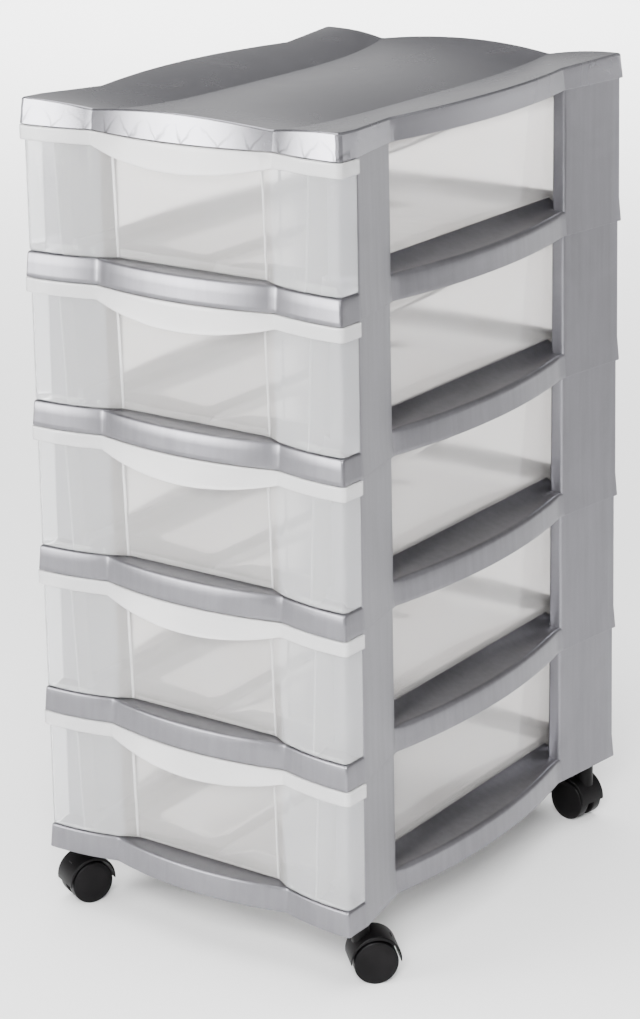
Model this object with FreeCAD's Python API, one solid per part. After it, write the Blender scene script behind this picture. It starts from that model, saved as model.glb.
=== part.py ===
import FreeCAD, Part
import math
import os

# Rolling drawer cabinet: five moulded tier frames stacked post on post, a see-through drawer in each,
# a dished top cover and four twin-wheel casters. Lengths are millimetres. The origin is on the floor
# under the middle of the cabinet, with +X to the right, the drawers opening towards -Y and +Z up.

# Whole cabinet
tier_count = 5
width = 293.5
depth = 407.0
tier_pitch = 118.5
base_height = 54.0
wall = 2.5
overrun = 6.0

# Plan outline that the tiers, the top cover and the drawer fronts share
crease_span = 166.0
crease_sweep = 8.5
front_bow = 11.0
flank_bulge = 2.2
return_depth = 24.0
return_flare = 0.4
front_post_depth = 59.0
post_setback = 1.0
waist = 10.7
side_bow = 13.0
rear_post_depth = 78.0
rear_sweep = 7.0
rear_bow = 6.0
corner_round = 5.0

# Tier frame
bar_height = 20.0
bar_draft = 1.3
front_bar_depth = 30.0
rear_bar_depth = 26.0
runner_width = 17.5
runner_lip = 12.0
opening_round = 12.0
guide_set = 5.0
guide_rise = 8.0
guide_crest = 2.0
cove_width = 20.0
cove_sag = 2.0
post_width = 28.0
post_draft = 2.0
rear_step_width = 6.0
rear_step_depth = 12.0
spigot_height = 8.0
spigot_gap = 0.3

# Top cover
cover_height = 20.0
cover_draft = 1.5
cover_crease_drop = 2.5
cover_dish = 10.0
cover_crease_draw = 7.0
cover_crown = 4.5
shoulder_bulge = 1.5
cover_station_shares = (-0.03, 0.11, 0.3, 0.52, 0.74, 0.91, 1.03)
dish_power = 4

# Drawer
drawer_wall = 2.0
runner_gap = 0.3
bar_gap = 0.9
lip_gap = 0.8
post_gap = 0.6
face_setback = 1.5
tub_gap_low = 1.5
tub_gap_high = 2.5
tub_rear_gap = 19.0
tub_rear_lean = 3.0
tub_rim_drop = 5.0
tub_corner_round = 12.0
panel_set = 14.0
panel_depth_low = 18.0
panel_depth_high = 14.0
lip_proud = 1.2
lip_thickness = 3.0
lip_height = 11.0
apron_drop = 11.0

# Casters
caster_side_set = 11.5
caster_front_set = 15.0
caster_rear_set = 23.0
caster_angles = {"front_left": 245.0, "front_right": 45.0, "rear_left": 225.0, "rear_right": 168.0}
wheel_diameter = 35.0
wheel_width = 11.0
wheel_face_dome = 1.2
wheel_edge_round = 1.6
wheel_flat_diameter = 21.0
wheel_disc = 3.0
wheel_gap = 0.4
trail = 10.0
core_width = 6.0
core_radius = 14.0
hood_gap = 1.8
hood_wall = 2.6
hood_tip = 0.5
hood_chamfer = 1.4
neck_diameter = 14.0
axle_diameter = 5.0
axle_fit = 0.05
axle_end_gap = 0.5
stem_diameter = 8.0
stem_fit = 0.06
stem_length = 24.0
stem_seat = 14.0
grip_proud = 0.3
grip_height = 6.0
grip_gap = 0.4
socket_wall = 2.0
socket_flange = 1.2
socket_flange_height = 2.0
socket_cap = 3.0
neck_gap = 0.4
boss_wall = 2.5
boss_gap = 0.1
boss_rib = 2.0

half_width = width / 2
crease_half = crease_span / 2
panel_half = crease_half - panel_set
post_inner = half_width - post_width
guide_inner = post_inner - guide_set
runner_inner = guide_inner - runner_width
tub_half_low = guide_inner - tub_gap_low
tub_half_high = post_inner - tub_gap_high
caster_across = post_inner + caster_side_set
caster_front = return_depth + caster_front_set
caster_rear = depth - caster_rear_set
front_reach = max(0, front_bow - crease_sweep) + lip_proud
rear_reach = depth + max(0, rear_bow - rear_sweep)
middle_depth = (rear_reach - front_reach) / 2
cover_base = base_height + tier_count * tier_pitch
front_post_back = return_depth + front_post_depth
rear_post_front = depth - rear_post_depth


def tier_base(tier):
    """Height of the lower edge of a tier's frame, tier 1 being the top one."""
    return base_height + (tier_count - tier) * tier_pitch


def at(x, back, z):
    """Point by its place to the right, its depth behind the front corners and its height over the floor."""
    return FreeCAD.Vector(x, back - middle_depth, z)


def unit(vector):
    """Copy of a vector with a length of one."""
    copy = FreeCAD.Vector(vector)
    copy.normalize()
    return copy


def level_wire(stops, z):
    """Closed level wire through stops of (x, depth, bulge of the edge that follows, corner rounding).

    A bulge turns the edge into an arc that stands out by that much to the right of its direction, and a
    rounding sets an arc that leaves the two edges that far from their corner.
    """
    corners = [at(x, back, z) for x, back, bulge, rounding in stops]
    count = len(corners)
    starts, ends, edges = [], [], []
    for i, corner in enumerate(corners):
        rounding = stops[i][3]
        before = unit(corners[i - 1] - corner)
        after = unit(corners[(i + 1) % count] - corner)
        first = corner + before * rounding
        last = corner + after * rounding
        ends.append(first)
        starts.append(last)
        if rounding:
            half_turn = before.getAngle(after) / 2
            middle = corner + ((first + last) / 2 - corner) / (1 + math.sin(half_turn))
            edges.append((i, 0, Part.Arc(first, middle, last).toShape()))
    for i in range(count):
        first = starts[i]
        last = ends[(i + 1) % count]
        bulge = stops[i][2]
        if bulge:
            along = unit(last - first)
            outward = FreeCAD.Vector(along.y, -along.x, 0)
            middle = (first + last) / 2 + outward * bulge
            edges.append((i, 1, Part.Arc(first, middle, last).toShape()))
        else:
            edges.append((i, 1, Part.LineSegment(first, last).toShape()))
    edges.sort(key=lambda entry: entry[:2])
    return Part.Wire([entry[2] for entry in edges])


def mirrored(stops, closing_bulge):
    """Right-hand stops followed by their mirror images, joined at the front by an edge with that bulge."""
    left = []
    for i in reversed(range(len(stops))):
        x, back, bulge, rounding = stops[i]
        left.append((-x, back, stops[i - 1][2] if i else closing_bulge, rounding))
    return stops + left


def outline(inset, z, rounding):
    """Scalloped plan outline drawn in by an inset: bowed middle, swept flanks, posts and bowed sides."""
    half = half_width - inset
    right = [
        (crease_half, crease_sweep + inset, flank_bulge, 0),
        (half, inset, 0, rounding),
        (half + return_flare, return_depth, 0, rounding),
        (half - waist, front_post_back, side_bow, 0),
        (half - waist, rear_post_front, 0, 0),
        (half, depth - inset, flank_bulge, rounding),
        (crease_half, depth - rear_sweep - inset, rear_bow, 0),
    ]
    return level_wire(mirrored(right, front_bow), z)


def block(inset_low, z_low, inset_high, z_high, rounding=corner_round):
    """Solid between two levels of the plan outline, each with its own inset."""
    low = outline(inset_low, z_low, rounding)
    if inset_low == inset_high:
        return Part.Face(low).extrude(FreeCAD.Vector(0, 0, z_high - z_low))
    return Part.makeLoft([low, outline(inset_high, z_high, rounding)], True, True)


def hollow(inset_low, z_low, inset_high, z_high):
    """Block for a hidden inner face, whose corners stay plain."""
    return block(inset_low, z_low, inset_high, z_high, 0)


def box(x_low, x_high, back_low, back_high, z_low, z_high):
    """Rectangular solid between two corners given as plan places and heights."""
    size = at(x_high, back_high, z_high) - at(x_low, back_low, z_low)
    return Part.makeBox(size.x, size.y, size.z, at(x_low, back_low, z_low))


def rounded_block(half_low, half_high, front, rear_low, rear_high, z_low, z_high, rounding, front_rounding):
    """Tapered block with a rounded rectangular plan, symmetric about the middle plane."""
    wires = []
    for half, rear, z in ((half_low, rear_low, z_low), (half_high, rear_high, z_high)):
        right = [(half, front, 0, front_rounding), (half, rear, 0, rounding)]
        wires.append(level_wire(mirrored(right, 0), z))
    return Part.makeLoft(wires, True, True)


def front_profile(points, back_low, back_high):
    """Solid with a front view bounded by (x, z, bulge) points, running from one depth to another."""
    corners = [at(x, back_low, z) for x, z, bulge in points]
    edges = []
    for i, (x, z, bulge) in enumerate(points):
        first = corners[i]
        last = corners[(i + 1) % len(corners)]
        if bulge:
            along = unit(last - first)
            middle = (first + last) / 2 + FreeCAD.Vector(along.z, 0, -along.x) * bulge
            edges.append(Part.Arc(first, middle, last).toShape())
        else:
            edges.append(Part.LineSegment(first, last).toShape())
    return Part.Face(Part.Wire(edges)).extrude(at(0, back_high, 0) - at(0, back_low, 0))


def post_columns(form, inset, z_low, z_high):
    """The four corner columns of a form, drawn in by an inset from the posts' inner faces.

    A rear column is stepped back where it faces the drawer.
    """
    inner = post_inner + inset
    far = half_width + side_bow + overrun
    step_back = rear_post_front + rear_step_depth + inset
    gap = post_setback + inset
    front = box(inner, far, return_depth + inset, front_post_back - gap, z_low, z_high)
    rear = box(inner, far, rear_post_front + gap, depth + overrun, z_low, z_high)
    step = box(inner - overrun, inner + rear_step_width, rear_post_front - overrun, step_back, z_low, z_high)
    columns = []
    for right in (front, rear.cut(step)):
        columns += [form.common(right), form.common(right.mirror(at(0, 0, 0), FreeCAD.Vector(1, 0, 0)))]
    return columns


def caster_places():
    """Swivel axis of each caster, by the corner that it stands under."""
    places = {}
    for corner in caster_angles:
        end, side = corner.split("_")
        x = caster_across if side == "right" else -caster_across
        places[corner] = at(x, caster_front if end == "front" else caster_rear, 0)
    return places


def cleaned(shape):
    """Shape with the seams that joining leaves in flat and round faces taken out, as one solid."""
    tidy = shape.removeSplitter()
    return tidy.Solids[0] if len(tidy.Solids) == 1 else tidy


# Tier frame: a skirted base with runners and guides for the drawer, and four hollow posts with spigots

def tier_frame(base, with_bosses):
    """One tier's moulding. The lowest one also has the bosses that take the caster sockets."""
    top = base + bar_height
    post_top = base + tier_pitch
    plate = top - wall
    body = block(0, base, bar_draft, top)
    body = body.cut(hollow(wall, base - overrun, wall + bar_draft, plate))
    far = depth - rear_bar_depth
    stiff = runner_inner + wall
    stiffener = rounded_block(stiff, stiff, front_bar_depth - wall, far + wall, far + wall,
                              top - runner_lip, top, opening_round, opening_round)
    opening = rounded_block(runner_inner, runner_inner, front_bar_depth, far, far,
                            base - overrun, top + overrun, opening_round, opening_round)
    body = body.fuse(stiffener).cut(opening)
    crest = guide_inner + guide_crest
    cove = [
        (guide_inner, plate, 0),
        (crest + cove_width, plate, 0),
        (crest + cove_width, top, -cove_sag),
        (crest, top + guide_rise, 0),
        (guide_inner, top + guide_rise, 0),
    ]
    right_guide = front_profile(cove, return_depth, rear_post_front + rear_step_depth)
    left_guide = right_guide.mirror(at(0, 0, 0), FreeCAD.Vector(1, 0, 0))
    body = body.fuse([right_guide, left_guide])
    body = body.fuse(post_columns(block(bar_draft, top, post_draft, post_top), 0, top, post_top))
    lining = wall + post_draft
    plug = lining + spigot_gap
    plug_top = post_top + spigot_height
    spigots = hollow(plug, plate, plug, plug_top)
    body = body.fuse(post_columns(spigots, wall + spigot_gap, post_top - wall, plug_top))
    low = base - overrun
    body = body.cut(post_columns(hollow(lining, low, lining, plug_top), wall, low, post_top - wall))
    core = plug + wall
    body = body.cut(post_columns(hollow(core, low, core, plug_top), wall + spigot_gap + wall,
                                 low, plug_top - wall))
    if with_bosses:
        body = with_caster_bosses(body, base)
    return cleaned(body)


def with_caster_bosses(body, base):
    """Frame with a ribbed tube standing in the foot of each post for a caster socket."""
    low = base + spigot_height + socket_flange_height
    height = socket_length() - socket_flange_height
    bore = socket_radius() + boss_gap
    columns = post_columns(hollow(wall, low, wall, low + height), wall / 2, low, low + height)
    for place in caster_places().values():
        foot = FreeCAD.Vector(place.x, place.y, low)
        arm = rear_post_depth
        across = Part.makeBox(arm, boss_rib, height, foot - FreeCAD.Vector(arm / 2, boss_rib / 2, 0))
        along = Part.makeBox(boss_rib, arm, height, foot - FreeCAD.Vector(boss_rib / 2, arm / 2, 0))
        holder = Part.makeCylinder(bore + boss_wall, height, foot).fuse([across, along])
        column = min(columns, key=lambda solid: solid.BoundBox.Center.distanceToPoint(foot))
        body = body.fuse(holder.common(column)).cut(Part.makeCylinder(bore, height, foot))
    return body


# Top cover: a skirted lid with a dished top that has a crowned middle between two creases

def cover_section(share, base, drop):
    """Cross-section of the cover's top at a share of its depth, lowered by a drop, down to its base."""
    back = share * depth
    spread = min(1, abs(2 * share - 1))
    dish = 1 - spread ** dish_power
    crease_x = crease_half - cover_crease_draw * dish
    crease_z = base + cover_height - cover_crease_drop - cover_dish * dish - drop
    edge_x = half_width + side_bow
    edge_z = base + cover_height - drop
    low = base - overrun if drop else base
    right = at(edge_x, back, edge_z)
    left = at(-edge_x, back, edge_z)
    crease_right = at(crease_x, back, crease_z)
    crease_left = at(-crease_x, back, crease_z)
    crown = at(0, back, crease_z + cover_crown)
    lift = FreeCAD.Vector(0, 0, shoulder_bulge)
    edges = [
        Part.Arc(left, (left + crease_left) / 2 + lift, crease_left).toShape(),
        Part.Arc(crease_left, crown, crease_right).toShape(),
        Part.Arc(crease_right, (right + crease_right) / 2 + lift, right).toShape(),
        Part.LineSegment(right, at(edge_x, back, low)).toShape(),
        Part.LineSegment(at(edge_x, back, low), at(-edge_x, back, low)).toShape(),
        Part.LineSegment(at(-edge_x, back, low), left).toShape(),
    ]
    return Part.Wire(edges)


def top_cover():
    """The cover as a shell of even wall, with four stubs inside that sit over the posts' spigots."""
    base = cover_base
    peak = base + cover_height + cover_crown
    form = Part.makeLoft([cover_section(share, base, 0) for share in cover_station_shares], True)
    under = Part.makeLoft([cover_section(share, base, wall) for share in cover_station_shares], True)
    outside = form.common(block(0, base, cover_draft, peak))
    inside = under.common(hollow(wall, base - overrun, wall + cover_draft, peak))
    body = outside.cut(inside)
    lining = wall + post_draft
    socket = under.common(hollow(lining, base - overrun, lining, peak))
    stubs = post_columns(outside, 0, base, peak)
    body = body.fuse(stubs).cut(post_columns(socket, wall, base - overrun, peak))
    return cleaned(body)


# Drawer: a drafted tub whose front wraps round in swept flanks, with a recessed middle and a hanging pull

def recess(half, depth_low, depth_high, edge_half, edge_depth, z_low, z_high):
    """Hollow in front of the drawer's middle panel, with slanted sides and a back that leans."""
    lean = (depth_high - depth_low) / (z_high - z_low) * overrun
    wires = []
    for z, back in ((z_low - overrun, depth_low - lean), (z_high + overrun, depth_high + lean)):
        right = [
            (edge_half, -front_reach - overrun, 0, 0),
            (edge_half, edge_depth, 0, 0),
            (half, back, 0, 0),
        ]
        wires.append(level_wire(mirrored(right, 0), z))
    return Part.makeLoft(wires, True, True)


def drawer(base):
    """One drawer as a single see-through moulding."""
    low = base + bar_height + runner_gap
    face_low = base + bar_height + bar_gap
    top = base + tier_pitch - lip_gap
    rim = top - tub_rim_drop
    inner = face_setback + drawer_wall
    edge = crease_sweep + face_setback
    hollow_front = recess(panel_half, panel_depth_low, panel_depth_high, crease_half, edge, low, top)
    hollow_inner = recess(panel_half + drawer_wall / 2, panel_depth_low + drawer_wall,
                          panel_depth_high + drawer_wall, crease_half + drawer_wall / 2,
                          edge + drawer_wall, low, top)
    envelope = block(face_setback, low, face_setback, top).cut(hollow_front)
    room = block(inner, low - overrun, inner, top + overrun).cut(hollow_inner)
    reach = half_width + side_bow + overrun
    nose = box(-reach, reach, -front_reach - overrun, return_depth - post_gap, face_low, top)
    front = envelope.cut(room).common(nose)

    rear = depth - tub_rear_gap
    tub = rounded_block(tub_half_low, tub_half_high, 0, rear - tub_rear_lean, rear,
                        low, rim, tub_corner_round, 0)
    taper = (tub_half_high - tub_half_low) / (rim - low)
    lean = tub_rear_lean / (rim - low)
    floor = low + drawer_wall
    half_floor = tub_half_low + taper * drawer_wall - drawer_wall
    half_rim = tub_half_high + taper * overrun - drawer_wall
    rear_floor = rear - tub_rear_lean + lean * drawer_wall - drawer_wall
    rear_rim = rear + lean * overrun - drawer_wall
    space = rounded_block(half_floor, half_rim, 0, rear_floor, rear_rim, floor, rim + overrun,
                          tub_corner_round - drawer_wall, 0)
    body = tub.common(envelope).cut(space.common(room)).fuse(front)

    lip_low = top - lip_height
    band = block(-lip_proud, lip_low - apron_drop, -lip_proud, top)
    band = band.cut(block(lip_thickness - lip_proud, lip_low - apron_drop - overrun,
                          lip_thickness - lip_proud, top + overrun))
    shape = [
        (-reach, lip_low, 0),
        (-crease_half, lip_low, apron_drop),
        (crease_half, lip_low, 0),
        (reach, lip_low, 0),
        (reach, top, 0),
        (-reach, top, 0),
    ]
    lip = band.common(front_profile(shape, -front_reach - overrun, return_depth - post_gap))
    web = block(lip_thickness / 2 - lip_proud, top - drawer_wall, lip_thickness / 2 - lip_proud, top)
    web = web.common(box(-crease_half, crease_half, -front_reach - overrun,
                         panel_depth_high + drawer_wall, top - drawer_wall, top))
    return cleaned(body.fuse([lip, web]))


# Caster: a hood on a steel stem, with a wheel on each side of its core, in a socket in the post's foot

def socket_radius():
    """Outer radius of the plain part of the socket."""
    return stem_diameter / 2 + stem_fit + socket_wall


def socket_length():
    """Full height of the socket, closed above the stem."""
    return socket_flange_height + stem_length + axle_end_gap + socket_cap


def revolved(points):
    """Solid turned about the Z axis from (radius, z) points."""
    corners = [FreeCAD.Vector(radius, 0, z) for radius, z in points]
    face = Part.Face(Part.makePolygon(corners + corners[:1]))
    return face.revolve(FreeCAD.Vector(0, 0, 0), FreeCAD.Vector(0, 0, 1), 360)


def stem_foot():
    """Height of the socket's lower face, which the neck of the hood runs under."""
    return base_height + spigot_height


def caster_socket():
    """Moulded bush with a flange and a blind bore, which widens where the stem's grip ring springs out."""
    bore = stem_diameter / 2 + stem_fit
    low = stem_foot()
    high = low + socket_length()
    mouth = high - socket_cap
    chamber = stem_diameter / 2 + grip_proud + grip_gap
    chamber_low = mouth - axle_end_gap - grip_height - grip_gap
    return revolved([
        (0, high),
        (0, mouth),
        (chamber, mouth),
        (chamber, chamber_low),
        (bore, chamber_low),
        (bore, low),
        (socket_radius() + socket_flange, low),
        (socket_radius() + socket_flange, low + socket_flange_height),
        (socket_radius(), low + socket_flange_height),
        (socket_radius(), high),
    ])


def caster_stem():
    """Steel pin set in the hood's neck, with the grip ring that holds it in the socket round its top."""
    radius = stem_diameter / 2
    low = stem_foot() - neck_gap - stem_seat
    high = stem_foot() + socket_flange_height + stem_length
    return revolved([
        (0, low),
        (radius, low),
        (radius, high - grip_height),
        (radius + grip_proud, high - grip_height),
        (radius + grip_proud, high),
        (0, high),
    ])


def hood_width():
    """Width of the hood over the core and both wheels."""
    return core_width + 2 * (wheel_width + wheel_gap) - 2 * wheel_face_dome


def caster_hood():
    """Hood shaped as a crescent over the wheels, with a core that holds the axle and a neck for the stem."""
    axle_z = wheel_diameter / 2
    inner = wheel_diameter / 2 + hood_gap
    outer = inner + hood_wall
    half = hood_width() / 2
    centre = FreeCAD.Vector(trail, 0, axle_z)
    sideways = FreeCAD.Vector(0, 2 * half, 0)
    start = centre - sideways / 2
    tip = FreeCAD.Vector(inner + hood_tip, 0, 0)
    rise = FreeCAD.Vector(0, 0, 1)
    over = Part.Arc(start - tip, start + rise * outer, start + tip).toShape()
    back_tip = tip - unit(tip) * hood_tip
    flat_right = Part.LineSegment(start + tip, start + back_tip).toShape()
    below = Part.Arc(start + back_tip, start + rise * inner, start - back_tip).toShape()
    flat_left = Part.LineSegment(start - back_tip, start - tip).toShape()
    shell = Part.Face(Part.Wire([over, flat_right, below, flat_left])).extrude(sideways)
    crest = axle_z + inner + hood_wall / 2
    dome_edges = [edge for edge in shell.Edges
                  if edge.BoundBox.YLength < hood_chamfer and edge.BoundBox.ZMax > crest]
    shell = shell.makeChamfer(hood_chamfer, dome_edges)
    sunk = core_width / 2
    core_start = centre - FreeCAD.Vector(0, sunk, 0)
    core = Part.makeCylinder(core_radius, core_width, core_start, FreeCAD.Vector(0, 1, 0))
    riser = Part.makeBox(2 * core_radius, core_width, inner, core_start - FreeCAD.Vector(core_radius, 0, 0))
    dome = Part.makeCylinder(outer - hood_wall / 2, 2 * half, start, FreeCAD.Vector(0, 1, 0))
    neck_low = stem_foot() - neck_gap - stem_seat
    neck_top = stem_foot() - neck_gap
    neck = Part.makeCylinder(neck_diameter / 2, neck_top - axle_z, FreeCAD.Vector(0, 0, axle_z))
    wells = Part.makeCylinder(inner, 2 * half, start, FreeCAD.Vector(0, 1, 0))
    body = shell.fuse([core, riser.common(dome), neck.cut(wells)])
    axle_bore = Part.makeCylinder(axle_diameter / 2, core_width, core_start, FreeCAD.Vector(0, 1, 0))
    stem_bore = Part.makeCylinder(stem_diameter / 2, neck_top - neck_low, FreeCAD.Vector(0, 0, neck_low))
    return cleaned(body.cut(axle_bore).cut(stem_bore))


def caster_axle():
    """Steel pin through the core that carries both wheels."""
    length = core_width + 2 * (wheel_gap + wheel_width - wheel_disc - axle_end_gap)
    start = FreeCAD.Vector(trail, -length / 2, wheel_diameter / 2)
    return Part.makeCylinder(axle_diameter / 2, length, start, FreeCAD.Vector(0, 1, 0))


def caster_wheel(side):
    """Wheel on one side of the core, with a blind bore and a closed, slightly domed outer face."""
    radius = wheel_diameter / 2
    bore = axle_diameter / 2 + axle_fit
    face = wheel_width - wheel_face_dome
    web = wheel_width - wheel_disc
    body = revolved([
        (0, web),
        (bore, web),
        (bore, 0),
        (radius, 0),
        (radius, face - wheel_edge_round),
        (radius - wheel_edge_round, face),
        (wheel_flat_diameter / 2, wheel_width),
        (0, wheel_width),
    ])
    body.rotate(FreeCAD.Vector(0, 0, 0), FreeCAD.Vector(1, 0, 0), -90 * side)
    body.translate(FreeCAD.Vector(trail, side * (core_width / 2 + wheel_gap), radius))
    return body


def caster_pieces():
    """Every piece of one caster, on its swivel axis and trailing towards +X."""
    return {
        "socket": caster_socket(),
        "stem": caster_stem(),
        "hood": caster_hood(),
        "axle": caster_axle(),
        "left_wheel": caster_wheel(1),
        "right_wheel": caster_wheel(-1),
    }


# Assembly

nodes = {"top_cover": top_cover()}
lowest = tier_base(tier_count)
plain_frame = tier_frame(lowest, False)
bossed_frame = tier_frame(lowest, True)
one_drawer = drawer(lowest)
for tier in range(1, tier_count + 1):
    lift = FreeCAD.Vector(0, 0, tier_base(tier) - lowest)
    nodes[f"tier_frame_{tier}"] = (bossed_frame if tier == tier_count else plain_frame).translated(lift)
    nodes[f"drawer_{tier}"] = one_drawer.translated(lift)
for corner, place in caster_places().items():
    for name, piece in caster_pieces().items():
        piece.rotate(FreeCAD.Vector(0, 0, 0), FreeCAD.Vector(0, 0, 1), caster_angles[corner])
        piece.translate(place)
        nodes[f"{corner}_caster_{name}"] = piece

os.makedirs("parts", exist_ok=True)
for name, shape in nodes.items():
    shape.exportStep(f"parts/{name}.step")
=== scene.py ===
import math
import bpy
import bmesh
import numpy as np
from mathutils import Matrix, Vector


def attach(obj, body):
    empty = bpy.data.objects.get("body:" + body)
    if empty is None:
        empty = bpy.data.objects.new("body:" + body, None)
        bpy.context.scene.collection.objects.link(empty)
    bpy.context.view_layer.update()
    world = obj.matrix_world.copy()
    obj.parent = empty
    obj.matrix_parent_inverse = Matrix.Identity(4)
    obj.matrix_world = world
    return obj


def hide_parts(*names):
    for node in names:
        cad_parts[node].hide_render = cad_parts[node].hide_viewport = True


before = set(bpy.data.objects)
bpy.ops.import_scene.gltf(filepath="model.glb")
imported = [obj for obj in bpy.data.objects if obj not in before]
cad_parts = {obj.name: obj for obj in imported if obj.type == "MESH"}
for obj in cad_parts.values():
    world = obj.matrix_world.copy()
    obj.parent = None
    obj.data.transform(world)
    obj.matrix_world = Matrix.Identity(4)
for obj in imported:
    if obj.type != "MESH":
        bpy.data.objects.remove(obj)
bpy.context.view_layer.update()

# Tier frames. Each is one silver moulding: a skirted base whose front and rear bars are scalloped and whose
# sides bow out, with coved guides for the drawer and a hollow post at each corner. The posts' spigots plug
# into the tier above, so the tiers stack with a thin seam.

mm = 0.001
tier_count = 5
tier_pitch = 118.5
base_height = 54.0
depth = 407.0
half_width = 146.75
middle_depth = 201.65
crease_half = 83.0
crease_sweep = 8.5
crease_round = 1.0
front_bow = 11.0
flank_bulge = 2.2
return_depth = 24.0
return_flare = 0.4
front_post_back = 83.0
rear_post_front = 329.0
waist = 10.7
side_bow = 13.0
rear_sweep = 7.0
rear_bow = 6.0
corner_round = 2.5
bar_height = 20.0
bar_draft = 1.3
bar_edge = 2.0
side_edge = 4.0
edge_blend = 12.0
rim_margin = 1.0
small_round = 0.5
small_cut = 0.15
opening_half = 96.25
opening_front = 30.0
opening_rear = 381.0
opening_round = 12.0
opening_edge = 1.0
opening_cut = 0.3
lip_depth = 12.0
lip_edge = 0.4
wall = 2.5
foot_cut = 0.3
post_inner = 118.75
post_round = 1.8
post_splay = 3.0
post_draft = 2.0
post_gap = 1.0
post_foot = 0.6
post_proud = 0.03
post_cut = 0.3
foot_depth = 8.6
step_width = 6.0
step_depth = 12.0
spigot_inset = 4.8
spigot_gap = 0.3
spigot_height = 8.0
guide_face = 113.75
guide_crest = 2.0
guide_rise = 8.0
arc_steps = 28
straight_steps = 6
corner_steps = 7
weld = 0.02


def bowed(first, last, bulge, count):
    """Points from first towards last on the circle arc whose middle stands out by bulge to the right."""
    chord = last - first
    half = np.hypot(*chord) / 2
    share = np.arange(count)[:, None] / count
    if bulge == 0:
        return first + share * chord
    along = chord / (2 * half)
    outward = np.array([along[1], -along[0]])
    reach = 2 * math.atan(bulge / half)
    radius = half / math.sin(reach)
    turn = (2 * share - 1) * reach
    centre = (first + last) / 2 + outward * (bulge - radius)
    return centre + radius * (np.sin(turn) * along + np.cos(turn) * outward)


def plan_path(stops, closed=True):
    """Plan points (x, depth) through stops of (x, depth, bulge of the next edge, corner rounding).

    An edge is an arc with that bulge, or straight; a corner is the arc that touches both its edges.
    """
    corner = np.array([stop[:2] for stop in stops], float)
    before = np.roll(corner, 1, 0) - corner
    after = np.roll(corner, -1, 0) - corner
    before /= np.linalg.norm(before, axis=1)[:, None]
    after /= np.linalg.norm(after, axis=1)[:, None]
    rounding = np.array([[stop[3]] for stop in stops], float)
    enter = corner + before * rounding
    leave = corner + after * rounding
    runs = []
    last = len(stops) - 1
    for i, (x, back, bulge, radius) in enumerate(stops):
        if radius:
            half_turn = math.acos(np.clip(before[i] @ after[i], -1, 1)) / 2
            lean = corner[i] - (enter[i] + leave[i]) / 2
            across = leave[i] - enter[i]
            side = np.sign(lean @ np.array([across[1], -across[0]]))
            sag = np.hypot(*lean) * math.sin(half_turn) / (1 + math.sin(half_turn))
            runs.append(bowed(enter[i], leave[i], side * sag, corner_steps))
        if closed or i < last:
            steps = arc_steps if bulge else straight_steps
            runs.append(bowed(leave[i], enter[(i + 1) % len(stops)], bulge, steps))
    if not closed:
        runs.append(corner[-1:])
    return np.concatenate(runs)


def mirrored(right, closing_bulge):
    """Right-hand stops followed by their mirror images, joined at the front by an edge with that bulge."""
    left = [(-x, back, right[i - 1][2] if i else closing_bulge, rounding)
            for i, (x, back, bulge, rounding) in reversed(list(enumerate(right)))]
    return right + left


def outline(inset):
    """The scalloped plan outline, drawn in by an inset."""
    half = half_width - inset
    return plan_path(mirrored([
        (crease_half, crease_sweep + inset, flank_bulge, crease_round),
        (half, inset, 0, corner_round),
        (half + return_flare, return_depth, 0, corner_round),
        (half - waist, front_post_back, side_bow, 0),
        (half - waist, rear_post_front, 0, 0),
        (half, depth - inset, flank_bulge, corner_round),
        (crease_half, depth - rear_sweep - inset, rear_bow, crease_round),
    ], front_bow))


def placed(plan, z):
    """Points in the object's frame, in metres, from plan points and heights in millimetres."""
    z = np.broadcast_to(z, plan.shape[:-1])
    return np.stack([plan[..., 0], plan[..., 1] - middle_depth, z], -1) * mm


def grid_faces(rows, columns, wrap_rows, wrap_columns, start):
    """Corner numbers of the cells of a grid, joined round in either direction where it wraps."""
    number = np.arange(rows * columns).reshape(rows, columns) + start
    if wrap_rows:
        number = np.concatenate([number, number[:1]])
    if wrap_columns:
        number = np.concatenate([number, number[:, :1]], 1)
    cells = np.stack([number[:-1, :-1], number[:-1, 1:], number[1:, 1:], number[1:, :-1]], -1)
    return cells.reshape(-1, 4).tolist()


def moulding(name, grids, body, material, crease=28.0, turn_out=True):
    """One piece from grids of (points, wraps by rows, wraps by columns, capped).

    A cap closes the first and the last row with a flat face. Points that meet are welded, and edges sharper
    than the crease angle stay crisp.
    """
    points, faces, start = [], [], 0
    for grid, wrap_rows, wrap_columns, capped in grids:
        rows, columns = grid.shape[:2]
        points.append(grid.reshape(-1, 3))
        faces += grid_faces(rows, columns, wrap_rows, wrap_columns, start)
        if capped:
            first = np.arange(columns) + start
            faces += [first[::-1].tolist(), (first + (rows - 1) * columns).tolist()]
        start += rows * columns
    mesh = bpy.data.meshes.new(name)
    mesh.from_pydata(np.concatenate(points).tolist(), [], faces)
    shape = bmesh.new()
    shape.from_mesh(mesh)
    bmesh.ops.remove_doubles(shape, verts=shape.verts, dist=weld * mm)
    if turn_out:
        bmesh.ops.recalc_face_normals(shape, faces=shape.faces)
    shape.to_mesh(mesh)
    shape.free()
    mesh.shade_smooth()
    mesh.set_sharp_from_angle(angle=math.radians(crease))
    mesh.materials.append(material)
    piece = bpy.data.objects.new(name, mesh)
    bpy.context.scene.collection.objects.link(piece)
    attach(piece, body)
    return piece


def quarter(count):
    """Angles from nought to a quarter turn."""
    return np.linspace(0, math.pi / 2, count)


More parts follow.
